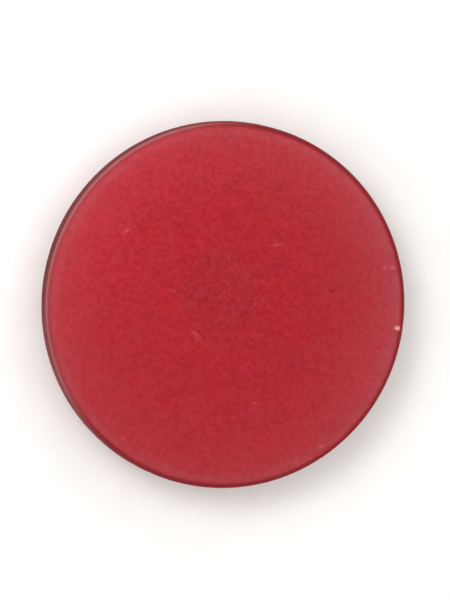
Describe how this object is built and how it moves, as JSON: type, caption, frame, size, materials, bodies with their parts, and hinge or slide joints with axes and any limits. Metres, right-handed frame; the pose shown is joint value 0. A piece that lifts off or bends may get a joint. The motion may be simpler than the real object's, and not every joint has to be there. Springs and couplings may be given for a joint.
{
  "type": "shank button",
  "caption": "Plain round flat-faced shank button moulded in one piece, with a short flatted sewing post on its back that has a cross hole for thread.",
  "frame": {"origin": "middle of the sewing post's flat end, on which the button stands", "axes": "+Z out of the face along the button's axis, X along the thread hole"},
  "size_m": [0.028, 0.028, 0.0063],
  "materials": {
    "red_plastic": "satin, lightly scuffed"
  },
  "bodies": {
    "root": {"button": "red_plastic"}
  },
  "joints": []
}
